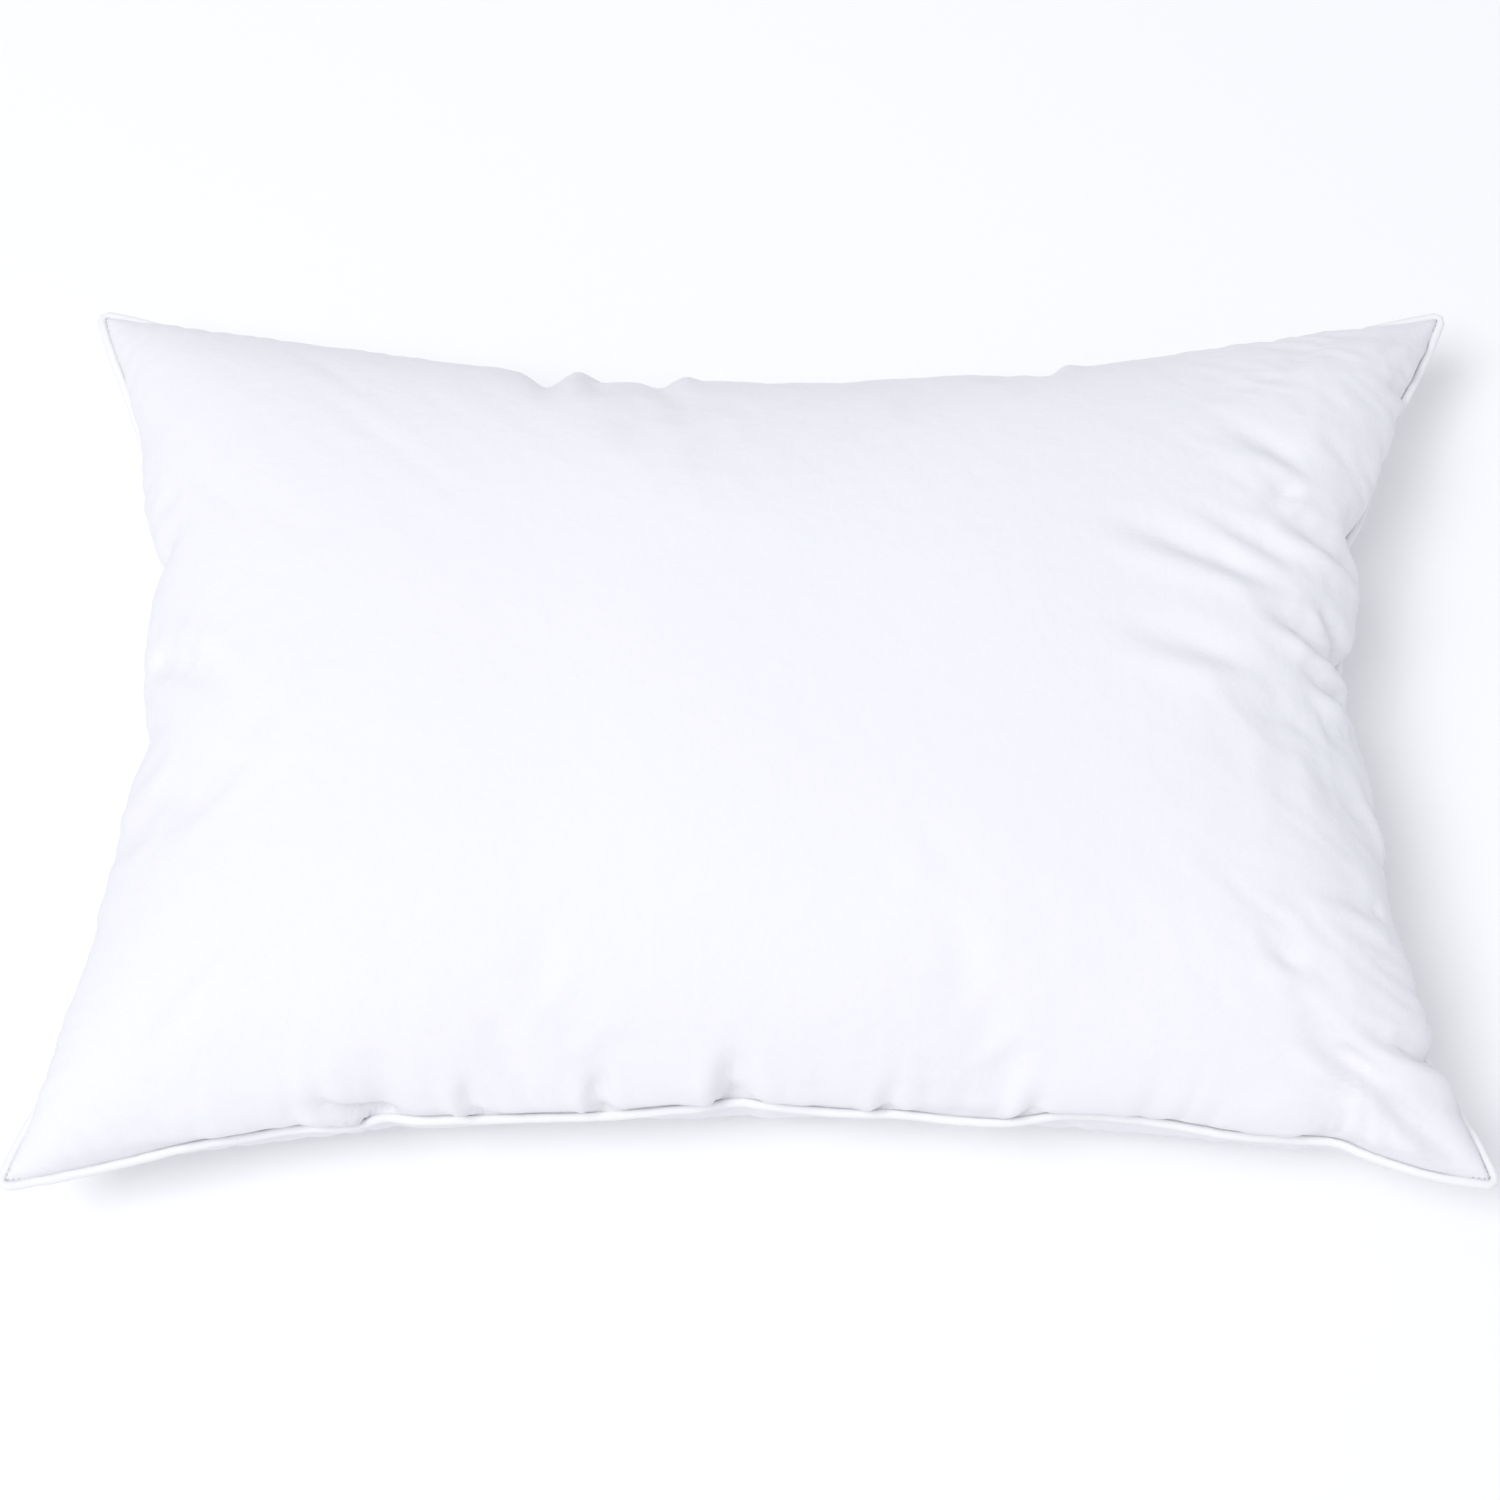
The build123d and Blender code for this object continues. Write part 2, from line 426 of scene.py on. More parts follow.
def pinched_seam(shell, cut, places):
    """Places with the seam drawn in at each pinch, and how firmly each vertex is held there."""
    drawn = places.copy()
    held = np.zeros(len(cut))
    half_length, half_width = shell.cut_length / 2, shell.cut_width / 2
    tiny = shell.cell / 10
    edges = {
        "right": (cut[:, 0] > half_length - tiny, 1, (-1, 0)),
        "left": (cut[:, 0] < tiny - half_length, 1, (1, 0)),
        "near": (cut[:, 1] < tiny - half_width, 0, (0, 1)),
        "far": (cut[:, 1] > half_width - tiny, 0, (0, -1)),
    }
    corner = np.hypot(*edge_distances(shell, cut))
    wander = np.array([lump(place, TUCK_WANDER) for place in places])
    tuck = shell.tuck * smooth_step(corner / TUCK_FADE) * (1 + TUCK_VARIES * wander)
    for edge, axis, inward in edges.values():
        drawn[:, :2] += np.outer(edge * tuck, inward)
    for pinch in PINCHES:
        edge, axis, inward = edges[pinch.side]
        share = edge * np.exp(-((places[:, axis] - pinch.place) / pinch.half_width) ** 2)
        drawn[:, :2] += np.outer(pinch.depth * share, inward)
        held = np.maximum(held, share)
    return drawn, held


def hold_cloth(shell, form, cut, pinched):
    """Vertex groups: how firmly the cloth is held, and where it gets no ease."""
    held = form.vertex_groups.new(name="held")
    no_ease = form.vertex_groups.new(name="no ease")
    inner_hold, seam_hold, corner_hold, pinch_hold = 0.05, 0.8, 0.95, 0.97
    corner_reach, hold_start, hold_reach, ease_start = 0.040, 0.020, 0.080, 0.020
    for index, (x, y, side) in enumerate(cut):
        to_end = shell.cut_length / 2 - abs(x)
        to_side = shell.cut_width / 2 - abs(y)
        to_seam = min(to_end, to_side)
        if side == 0:
            corner = max(0, 1 - math.hypot(to_end, to_side) / corner_reach)
            hold = seam_hold + (corner_hold - seam_hold) * corner
            hold = max(hold, pinch_hold * pinched[index])
        else:
            hold = inner_hold * min(1, max(0, (to_seam - hold_start) / hold_reach))
        held.add([index], hold, "REPLACE")
        no_ease.add([index], max(0, 1 - to_seam / ease_start), "REPLACE")


def add_cloth(shell, form):
    """Cloth modifier that fills the shell like a stuffed pillow."""
    modifier = form.modifiers.new("Filling", "CLOTH")
    cloth = modifier.settings
    cloth.quality = 5
    cloth.mass = 0.3
    cloth.air_damping = 3
    cloth.tension_stiffness = cloth.compression_stiffness = 30
    cloth.shear_stiffness = 5
    cloth.bending_stiffness = 0.5
    cloth.tension_damping = cloth.compression_damping = cloth.shear_damping = 10
    cloth.bending_damping = 1
    cloth.use_pressure = True
    cloth.uniform_pressure_force = shell.pressure
    cloth.vertex_group_mass = "held"
    cloth.pin_stiffness = 1
    cloth.goal_friction = 5
    cloth.vertex_group_shrink = "no ease"
    cloth.shrink_min = -shell.ease
    cloth.shrink_max = 0
    cloth.effector_weights.gravity = 0
    modifier.collision_settings.use_collision = True
    modifier.collision_settings.distance_min = 0.001
    modifier.point_cache.frame_end = FRAMES


def resting_surface():
    """Level plate that the shell is pressed on while it fills."""
    skin = 0.001
    bm = bmesh.new()
    bmesh.ops.create_grid(bm, x_segments=1, y_segments=1, size=1)
    bmesh.ops.translate(bm, verts=bm.verts, vec=(0, 0, -skin))
    plate = bpy.data.objects.new("resting_surface", mesh_from(bm, "resting_surface"))
    bpy.context.scene.collection.objects.link(plate)
    plate.modifiers.new("Collision", "COLLISION")
    plate.collision.thickness_outer = skin
    plate.collision.cloth_friction = 20
    return plate


def fill_shell(shell):
    """Sew two flat panels at their rims, fill them by simulation, and return the form's mesh."""
    bm = bmesh.new()
    for side in (1, -1):
        bm.from_mesh(cut_panel(shell, side))
    mesh = mesh_from(bm, FORM)
    cut = cut_of(mesh)
    mesh.vertices.foreach_set("co", filled_places(shell, cut).ravel())
    bm = bmesh.new()
    bm.from_mesh(mesh)
    bmesh.ops.remove_doubles(bm, verts=bm.verts, dist=shell.cell / 100)
    bm.to_mesh(mesh)
    bm.free()
    cut, places = cut_of(mesh), places_of(mesh)
    lumps = np.array([lump(place, LUMP_SIZE) for place in places])
    places[:, 2] += LUMP_HEIGHT * lumps * np.where(cut[:, 2] > 0, 1, 0)
    mesh.vertices.foreach_set("co", places.ravel())
    form = bpy.data.objects.new(FORM, mesh)
    bpy.context.scene.collection.objects.link(form)
    drawn, pinched = pinched_seam(shell, cut, places)
    form.shape_key_add(name="Basis")
    key = form.shape_key_add(name="Pinched")
    key.data.foreach_set("co", drawn.ravel())
    key.value = 1
    key.value = 0
    key.keyframe_insert("value", frame=1)
    key.value = 1
    key.keyframe_insert("value", frame=FRAMES // 3)
    hold_cloth(shell, form, cut, pinched)
    plate = resting_surface()
    add_cloth(shell, form)
    bpy.context.scene.frame_end = FRAMES
    for step in range(1, FRAMES + 1):
        bpy.context.scene.frame_set(step)
    bpy.data.objects.remove(plate)
    smooth = form.modifiers.new("Fine cells", "SUBSURF")
    smooth.levels = smooth.render_levels = 1
    mesh = applied(form, FORM)
    bpy.context.scene.frame_set(1)
    return mesh


def settle_crown(shell, places):
    """Bring the filled form down to its crown height, and keep it off the surface."""
    height = places[:, 2]
    above = height > SEAM_HEIGHT
    top = height.max()
    height[above] = SEAM_HEIGHT + (height[above] - SEAM_HEIGHT) * (
        (shell.crown - SEAM_HEIGHT) / (top - SEAM_HEIGHT))
    np.maximum(height, shell.thickness / 10, out=height)


def crease_profile(share):
    """Cross-section of a crease: a valley with a soft ridge on one side."""
    ridge_height, ridge_place, ridge_width = 0.55, 1.7, 0.9
    ridge = ridge_height * np.exp(-((share - ridge_place) / ridge_width) ** 2)
    return ridge - np.exp(-share ** 2)


def seam_puckers(shell, cut):
    """Height of the small gathers that run from the seam into both panels."""
    slant_pitch, amount_pitch, corner_reach, crispness = 0.06, 0.045, 0.05, 2.2
    heights = np.zeros(len(cut))
    half_length, half_width = shell.cut_length / 2, shell.cut_width / 2
    for index, (x, y, side) in enumerate(cut):
        to_end, to_side = half_length - abs(x), half_width - abs(y)
        to_seam = min(to_end, to_side)
        if to_seam > 6 * PUCKER_REACH:
            continue
        at_end = to_end < to_side
        row = 3 * math.copysign(1, side) + (math.copysign(1, x) if at_end else math.copysign(2, y))
        travel = y if at_end else x
        slant = noise.noise((travel / slant_pitch, row, 5.0))
        gather = noise.noise(((travel + slant * to_seam) / PUCKER_PITCH, row, 9.0))
        amount = 0.6 + noise.noise((travel / amount_pitch, row, 2.0))
        fade = to_seam / PUCKER_REACH * math.exp(1 - to_seam / PUCKER_REACH)
        corner = min(1, max(to_end, to_side) / corner_reach)
        heights[index] = amount * fade * corner * (crispness * math.sqrt(abs(gather)) - 1)
    return PUCKER_HEIGHT * heights


def crumples(shell, cut):
    """Height of the fine crumples: crisp crests that slant along the panel."""
    slant = 0.28
    crests = np.array([
        abs(noise.noise((x / CRUMPLE_LENGTH, (y + slant * x) / CRUMPLE_PITCH, 7.0)))
        for x, y, side in cut])
    to_seam = np.minimum(*edge_distances(shell, cut))
    slack = smooth_step((cut[:, 0] - CRUMPLE_START) / CRUMPLE_SPREAD)
    rim = CRUMPLE_RIM_SHARE * (1 - smooth_step(to_seam / CRUMPLE_RIM))
    return CRUMPLE_HEIGHT * np.maximum(slack, rim) * (0.5 - 2 * crests)


def press_creases(shell, mesh, places, cut):
    """Press in the creases and gathers, then roll the cloth over the seam and part it there."""
    normals = normals_of(mesh)
    lift = seam_puckers(shell, cut)
    corner = np.hypot(*edge_distances(shell, cut))
    upper = (cut[:, 2] > 0) * smooth_step(corner / EAR_REACH)
    lift += upper * crumples(shell, cut)
    for crease in CREASES:
        start, end = np.array(crease.start), np.array(crease.end)
        along = end - start
        length = np.linalg.norm(along)
        along /= length
        across = np.array((-along[1], along[0]))
        from_start = cut[:, :2] - start
        travel = from_start @ along / length
        side = from_start @ across - crease.bow * np.sin(math.pi * np.clip(travel, 0, 1))
        to_end, to_side = np.array((shell.cut_length, shell.cut_width)) / 2 - abs(start)
        if to_end < CREASE_FROM_END or to_side < CREASE_FROM_SIDE:
            fade = smooth_step(travel / 0.10 + 0.5) * smooth_step((1 - travel) / 0.7)
        else:
            fade = smooth_step(travel / 0.45) * smooth_step((1 - travel) / 0.55)
        profile = crease_profile(side / (CREASE_WIDEN * crease.width))
        lift += CREASE_PRESS * crease.depth * fade * profile * upper
    places += normals * lift[:, None]
    places[:, :2] += rolled_over(shell, cut, places)
    to_seam = np.minimum(*edge_distances(shell, cut))
    stack = smooth_step(to_seam / STACK_RISE) * (1 - smooth_step(to_seam / STACK_FADE))
    places[:, 2] += STACK_LIFT * stack * np.sign(cut[:, 2])


def rolled_over(shell, cut, places):
    """Steps along X and Y that draw the seam in and roll the upper cloth out over it."""
    to_end, to_side = edge_distances(shell, cut)
    from_corner = smooth_step(np.hypot(to_end, to_side) / TUCK_FADE)
    lumps = np.array([lump(place, ROLL_LUMP) for place in places])
    steps = np.zeros((len(cut), 2))
    for name, axis, sign in (("left", 0, -1), ("right", 0, 1), ("near", 1, -1), ("far", 1, 1)):
        to_seam = to_side if axis else to_end
        on_side = (cut[:, axis] * sign > 0) & (to_seam < ROLL_FADE)
        rise = smooth_step(to_seam / ROLL_RISE)
        slack, notch = 1 + ROLL_VARIES * lumps, 0
        for pinch in PINCHES:
            if pinch.side == name:
                away = (places[:, 1 - axis] - pinch.place) / (NOTCH_WIDTH * pinch.half_width)
                near_pinch = np.exp(-away ** 2)
                slack = slack * (1 - ROLL_VARIES * near_pinch)
                deepening = NOTCH_AT_SEAM + (1 - NOTCH_AT_SEAM) * rise
                notch = notch + NOTCH_SHARE * pinch.depth * near_pinch * deepening
        fade = 1 - smooth_step(to_seam / ROLL_FADE)
        over = ROLLS[name].cloth_out * slack * rise * fade - ROLLS[name].seam_in * (1 - rise)
        under = -ROLLS[name].seam_in * fade
        step = np.where(cut[:, 2] > 0, over, under) - notch * fade
        steps[:, axis] += sign * on_side * from_corner * step
    return steps


def make_form(shell):
    """Filled and creased form, kept as mesh data for the operators that follow."""
    mesh = fill_shell(shell)
    places, cut = places_of(mesh), cut_of(mesh)
    settle_crown(shell, places)
    press_creases(shell, mesh, places, cut)
    mesh.vertices.foreach_set("co", places.ravel())
    mesh.update()
    mesh.use_fake_user = True


def form_mesh():
    """The filled form, or an error if it isn't made yet."""
    mesh = bpy.data.meshes.get(FORM)
    if mesh is None:
        raise RuntimeError("fill the shell first: the other pieces follow its seam")
    return mesh


# The seam: what follows it is placed by the distance travelled round it

class Seam:
    """Closed seam line of the filled form, with the directions out of the pillow and up."""

    def __init__(self, shell, trim):
        mesh = form_mesh()
        places, cut = places_of(mesh), cut_of(mesh)
        length, width = shell.cut_length, shell.cut_width
        rim = np.flatnonzero(cut[:, 2] == 0)
        flat = cut[rim]
        x, y = flat[:, 0], flat[:, 1]
        travel = np.select(
            (y <= TINY - width / 2, x >= length / 2 - TINY, y >= width / 2 - TINY),
            (x + length / 2, length + y + width / 2, 1.5 * length + width - x),
            2 * length + 1.5 * width - y)
        order = np.argsort(travel)
        self.rim = rim[order]
        self.flat = flat[order]
        self.places = places[self.rim]
        self.reach = 2 * (length + width)
        self.travel = travel[order]
        along = unit(np.roll(self.places, -1, axis=0) - np.roll(self.places, 1, axis=0))
        self.out = unit(np.cross(along, UPRIGHT))
        self.up = unit(np.cross(self.out, along))
        corner = np.hypot(*edge_distances(shell, self.flat))
        self.width = np.minimum(shell.allowance, trim * np.maximum(0, corner - CORNER_CLEAR))

    def read(self, values, distances):
        """Values of the seam's points at the given distances round it."""
        if values.ndim == 1:
            return np.interp(distances, self.travel, values, period=self.reach)
        return np.column_stack([self.read(column, distances) for column in values.T])

    def line(self, distances, out, up):
        """Points beside the seam: out of it (negative is inside the pillow) and above it."""
        sideways = self.read(self.out, distances) * np.reshape(out, (-1, 1))
        upwards = self.read(self.up, distances) * np.reshape(up, (-1, 1))
        return self.read(self.places, distances) + sideways + upwards


def swept_grid(name, sections, closed_path, closed_section, travel, girth):
    """Surface through an array of sections, with a UV map in metres along and round it."""
    rows, columns = sections.shape[:2]
    bm = bmesh.new()
    row_spans = rows if closed_path else rows - 1
    column_spans = columns if closed_section else columns - 1
    bmesh.ops.create_grid(bm, x_segments=row_spans, y_segments=column_spans, size=0.5)
    weave = bm.loops.layers.uv.new(WEAVE_MAP)
    marks = {}
    for vert in bm.verts:
        row = round((vert.co.x + 0.5) * row_spans)
        column = round((vert.co.y + 0.5) * column_spans)
        marks[vert] = (travel * row / row_spans, girth * column / column_spans)
        vert.co = sections[row % rows, column % columns]
    for face in bm.faces:
        for corner in face.loops:
            corner[weave].uv = marks[corner.vert]
    bmesh.ops.remove_doubles(bm, verts=bm.verts, dist=1e-7)
    if closed_section and not closed_path:
        bmesh.ops.holes_fill(bm, edges=[edge for edge in bm.edges if edge.is_boundary])
    if closed_section:
        bmesh.ops.recalc_face_normals(bm, faces=bm.faces)
    return mesh_from(bm, name)


def strand(name, path, towards, radius, sides, closed, ply=0, plies=3, lay=0.01):
    """Round strand along a path; ply is the depth of the twist between its plies."""
    ahead = np.roll(path, -1, axis=0) - np.roll(path, 1, axis=0)
    if not closed:
        ahead[0], ahead[-1] = path[1] - path[0], path[-1] - path[-2]
    along = unit(ahead)
    across = unit(np.cross(along, towards))
    rise = np.cross(across, along)
    steps = np.linalg.norm(np.diff(path, axis=0, append=path[:1]), axis=1)
    travelled = np.concatenate(([0], np.cumsum(steps[:-1])))
    length = steps.sum() if closed else travelled[-1]
    turns = max(1, round(length / lay)) * 2 * math.pi / length
    angles = np.arange(sides) * 2 * math.pi / sides
    twist = angles[None, :] + travelled[:, None] * turns
    reach = radius * (1 - ply * (0.5 - 0.5 * np.cos(plies * twist)))
    sections = (path[:, None, :]
                + across[:, None, :] * (reach * np.cos(angles))[:, :, None]
                + rise[:, None, :] * (reach * np.sin(angles))[:, :, None])
    return swept_grid(name, sections, closed, True, length, 2 * math.pi * radius)


# Materials

def shader_node(tree, kind, inputs=(), **settings):
    """Node with its settings, and its inputs as values or as linked outputs."""
    made = tree.nodes.new(kind)
    for key, value in settings.items():
        setattr(made, key, value)
    for key, value in dict(inputs).items():
        if isinstance(value, bpy.types.NodeSocket):
            tree.links.new(value, made.inputs[key])
        else:
            made.inputs[key].default_value = value
    return made


def calculated(tree, operation, first, second=0.0, third=0.0):
    """Result of one Math node."""
    inputs = {0: first, 1: second, 2: third}
    return shader_node(tree, "ShaderNodeMath", inputs, operation=operation).outputs[0]


def new_material(name):
    """Material with nodes, with its node tree and its piece's Object coordinates."""
    material = bpy.data.materials.new(name)
    material.use_nodes = True
    tree = material.node_tree
    return material, tree, shader_node(tree, "ShaderNodeTexCoord").outputs["Object"]


def noise_field(tree, vector, scale, detail, stretch=(1, 1, 1)):
    """Noise from 0 to 1; stretch scales the vector first, so that it runs along a yarn."""
    stretched = shader_node(tree, "ShaderNodeMapping", {"Vector": vector, "Scale": stretch})
    field = shader_node(tree, "ShaderNodeTexNoise", {
        "Vector": stretched.outputs[0], "Scale": scale, "Detail": detail, "Roughness": 0.55})
    return field.outputs["Fac"]


def bumped(tree, height, distance, strength, under=None):
    """Bump of a real height in metres, on top of another bump."""
    inputs = {"Height": height, "Distance": distance, "Strength": strength}
    if under is not None:
        inputs["Normal"] = under
    return shader_node(tree, "ShaderNodeBump", inputs).outputs[0]


def plain_weave(tree, place, pitch):
    """Height of a plain weave: yarns that pass over and under each other."""
    apart = shader_node(tree, "ShaderNodeSeparateXYZ", {0: place})
    warp, weft = (
        calculated(tree, "SINE", calculated(tree, "MULTIPLY", way, math.pi / pitch))
        for way in (apart.outputs[0], apart.outputs[1]))
    over = calculated(tree, "MULTIPLY", warp, weft)
    rounder = calculated(
        tree, "SUBTRACT", calculated(tree, "ABSOLUTE", warp), calculated(tree, "ABSOLUTE", weft))
    return calculated(tree, "MULTIPLY", over, rounder)


def varied_colour(tree, colour, amount, shift):
    """Colour that drifts by shift, as a share, where amount goes from 0 to 1."""
    far = [min(1, channel * (1 + part)) for channel, part in zip(colour, shift)]
    mixed = shader_node(tree, "ShaderNodeMix", data_type="RGBA")
    tree.links.new(amount, mixed.inputs[0])
    mixed.inputs[6].default_value = (*colour, 1)
    mixed.inputs[7].default_value = (*far, 1)
    return mixed.outputs[2]


def finished(material, colour, roughness, normal, sheen, specular):
    """Wire a Principled shader; the even values stay on its own sockets."""
    tree = material.node_tree
    shader = tree.nodes["Principled BSDF"]
    shader.inputs["Sheen Weight"].default_value = sheen
    shader.inputs["Sheen Roughness"].default_value = 0.45
    shader.inputs["Specular IOR Level"].default_value = specular
    tree.links.new(colour, shader.inputs["Base Color"])
    tree.links.new(roughness, shader.inputs["Roughness"])
    tree.links.new(normal, shader.inputs["Normal"])
    return material


def woven_cotton(name, colour, pitch, turn, crumple):
    """Bleached plain-weave cotton: yarns, slubs, soft crumple and a faint drift of colour."""
    material, tree, solid = new_material(name)
    flat = shader_node(tree, "ShaderNodeUVMap", uv_map=WEAVE_MAP).outputs[0]
    turned = shader_node(
        tree, "ShaderNodeMapping", {"Vector": flat, "Rotation": (0, 0, turn)}).outputs[0]
    slub = calculated(
        tree, "ADD",
        noise_field(tree, turned, 1.0, 2, (40, 1400, 1)),
        noise_field(tree, turned, 1.0, 2, (1400, 40, 1)))
    soft = noise_field(tree, solid, 70, 3)
    fine = noise_field(tree, solid, 260, 2)
    drift = noise_field(tree, solid, 9, 2)
    normal = bumped(tree, soft, 0.0016, crumple)
    normal = bumped(tree, fine, 0.0003, crumple, normal)
    normal = bumped(tree, slub, 0.00008, 0.5, normal)
    normal = bumped(tree, plain_weave(tree, turned, pitch), 0.00010, 0.5, normal)
    worn = calculated(tree, "MULTIPLY_ADD", slub, 0.10, 0.66)
    tint = varied_colour(tree, colour, drift, (0.03, 0.02, 0.0))
    return finished(material, tint, worn, normal, 0.12, 0.25)


def spun_yarn(name, colour, pitch, hairs):
    """Twisted yarn: slanting plies along the strand, with a few stray hairs."""
    material, tree, solid = new_material(name)
    flat = shader_node(tree, "ShaderNodeUVMap", uv_map=WEAVE_MAP).outputs[0]
    apart = shader_node(tree, "ShaderNodeSeparateXYZ", {0: flat})
    slant = calculated(tree, "ADD", apart.outputs[0], apart.outputs[1])
    plies = calculated(tree, "SINE", calculated(tree, "MULTIPLY", slant, 2 * math.pi / pitch))
    fuzz = noise_field(tree, solid, hairs, 3)
    normal = bumped(tree, fuzz, 0.0002, 0.5, bumped(tree, plies, 0.0001, 0.7))
    tint = varied_colour(tree, colour, fuzz, (-0.06, -0.06, -0.05))
    worn = calculated(tree, "MULTIPLY_ADD", fuzz, 0.15, 0.6)
    return finished(material, tint, worn, normal, 0.1, 0.3)


def loose_fibre(name, colour):
    """Carded hollow fibre: soft clumps under a web of fine strands."""
    material, tree, solid = new_material(name)
    clumps = noise_field(tree, solid, 60, 4)
    strands = noise_field(tree, solid, 1.0, 4, (300, 1600, 700))
    normal = bumped(tree, strands, 0.0006, 0.8, bumped(tree, clumps, 0.004, 0.8))
    tint = varied_colour(tree, colour, clumps, (-0.05, -0.05, -0.04))
    worn = calculated(tree, "MULTIPLY_ADD", strands, 0.1, 0.8)
    return finished(material, tint, worn, normal, 0.3, 0.2)


def plain_floor(name, colour):
    """Matte painted floor with a very faint mottle."""
    material, tree, solid = new_material(name)
    mottle = noise_field(tree, solid, 3, 2)
    tint = varied_colour(tree, colour, mottle, (0.005, 0.005, 0.005))
    rough = calculated(tree, "MULTIPLY_ADD", mottle, 0.05, 0.85)
    normal = bumped(tree, mottle, 0.0002, 0.1)
    return finished(material, tint, rough, normal, 0.0, 0.2)


# The pieces

def shell_and_sewing(context):
    """The settings that the pieces are made from."""
    return context.scene.pillow_shell, context.scene.pillow_sewing


def panel_mesh(shell, sewing, side):
    """One panel of the form with its seam allowance turned in, and the weave map."""
    seam = Seam(shell, sewing.trim)
    bm = bmesh.new()
    bm.from_mesh(form_mesh())
    layer = bm.verts.layers.float_vector[CUT]
    other = [face for face in bm.faces if sum(vert[layer].z for vert in face.verts) * side < 0]
    bmesh.ops.delete(bm, geom=other, context="FACES")
    lift = side * shell.thickness
    row_of = {tuple(flat[:2]): row for row, flat in enumerate(seam.flat)}
    rim = [vert for vert in bm.verts if vert.is_boundary]
    row_at = {vert: row_of[tuple(np.array(vert[layer])[:2])] for vert in rim}
    for vert, row in row_at.items():
        vert.co = seam.places[row] + lift * seam.up[row]
    fold = [edge for edge in bm.edges if edge.is_boundary]
    turned = bmesh.ops.extrude_edge_only(bm, edges=fold)["geom"]
    inner = [item for item in turned if isinstance(item, bmesh.types.BMVert)]
    length, width = shell.cut_length / 2, shell.cut_width / 2
    for vert in inner:
        row = row_of[tuple(np.array(vert[layer])[:2])]
        reach = seam.width[row]
        vert.co = Vector(seam.places[row] + lift * seam.up[row] - reach * seam.out[row])
        flat = vert[layer]
        outward = Vector((abs(flat.x) > length - TINY, abs(flat.y) > width - TINY, 0))
        stretch = Vector((math.copysign(reach, flat.x), math.copysign(reach, flat.y), 0))
        vert[layer] = flat + outward * stretch
    for edge in fold:
        edge.smooth = False
    weave = bm.loops.layers.uv.new(WEAVE_MAP)
    for face in bm.faces:
        for corner in face.loops:
            corner[weave].uv = corner.vert[layer].xy
    return mesh_from(bm, "panel")


def make_panel(shell, sewing, name, node, side, material):
    """Upper (1) or lower (-1) cloth panel."""
    piece = new_piece(name, panel_mesh(shell, sewing, side), material, node)
    add_solidify(piece, shell.thickness, -1)
    return piece


class PILLOW_OT_shell(Operator):
    """Cut, sew and fill the two cloth panels."""
    bl_idname = "pillow.shell"
    bl_label = "Fill Shell"

    def execute(self, context):
        shell, sewing = shell_and_sewing(context)
        make_form(shell)
        cotton = woven_cotton("bleached_percale", shell.colour, 0.00036, 0, 0.5)
        make_panel(shell, sewing, "upper_panel", "top_panel", 1, cotton)
        make_panel(shell, sewing, "lower_panel", "bottom_panel", -1, cotton)
        return {"FINISHED"}


class PILLOW_OT_filling(Operator):
    """Make the loose fibre filling, which backs the shell and keeps clear of the seam."""
    bl_idname = "pillow.filling"
    bl_label = "Add Filling"

    def execute(self, context):
        shell, sewing = shell_and_sewing(context)
        mesh = form_mesh().copy()
        mesh.name = "fibre_fill"
        places, cut = places_of(mesh), cut_of(mesh)
        to_seam = np.minimum(*edge_distances(shell, cut))
        clearance, tuft, tuft_size, seam_reach = 0.0003, 0.0012, 0.012, 0.026
        end_share, side_share = 0.036, 0.054
        tufts = np.array([lump(place, tuft_size) for place in places])
        depth = shell.thickness + clearance + tuft * (0.5 + 0.5 * tufts)
        near = 1 - smooth_step(to_seam / seam_reach)
        places -= normals_of(mesh) * (depth * (1 - near))[:, None]
        places[:, 0] *= 1 - end_share * near
        places[:, 1] *= 1 - side_share * near
        mesh.vertices.foreach_set("co", places.ravel())
        bm = bmesh.new()
        bm.from_mesh(mesh)
        bmesh.ops.recalc_face_normals(bm, faces=bm.faces)
        bm.to_mesh(mesh)
        bm.free()
        piece = new_piece(
            "fibre_filling", mesh, loose_fibre("carded_fibre", sewing.fibre_colour),
            "fibre_fill")
        return {"FINISHED"}


def piping_wander(travel):
    """How far the piping strays outwards from the seam; it never goes in."""
    size = 0.018
    return PIPING_WANDER * np.array([abs(noise.noise((place / size, 1.0, 0))) for place in travel])


def wrinkles(travel, angle):
    """Cross wrinkles of the bias strip, from -1 to 1."""
    size = 0.0055
    return np.array([noise.noise((place / size, angle / 2, 4.0)) for place in travel])


